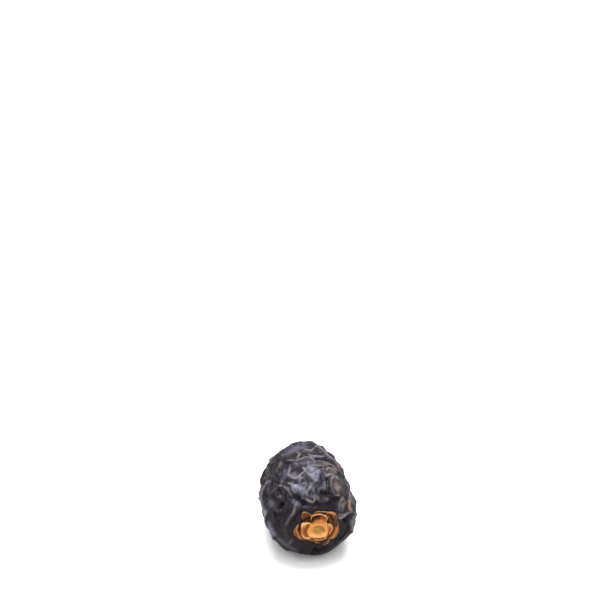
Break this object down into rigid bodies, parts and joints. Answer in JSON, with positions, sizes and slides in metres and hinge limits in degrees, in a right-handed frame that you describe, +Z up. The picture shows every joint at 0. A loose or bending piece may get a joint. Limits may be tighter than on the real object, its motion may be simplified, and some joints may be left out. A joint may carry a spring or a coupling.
{
  "type": "ajwa date",
  "caption": "Ajwa date lying on its side: wrinkled near-black fruit with a dry orange calyx cap at its stem end.",
  "frame": {"origin": "bottom centre of the bounding box, on the surface the date lies on", "axes": "+Z up; the long axis runs along Y with the stem end and its cap at -Y"},
  "size_m": [0.0228, 0.031, 0.0215],
  "materials": {
    "date_skin": "wrinkled waxy near-black skin with paler crests",
    "dry_petal": "dry papery brown-orange",
    "calyx": "dry waxy orange"
  },
  "bodies": {
    "root": {"date_fruit": "date_skin", "petal_whorl": "dry_petal", "calyx_cup": "calyx"}
  },
  "joints": []
}
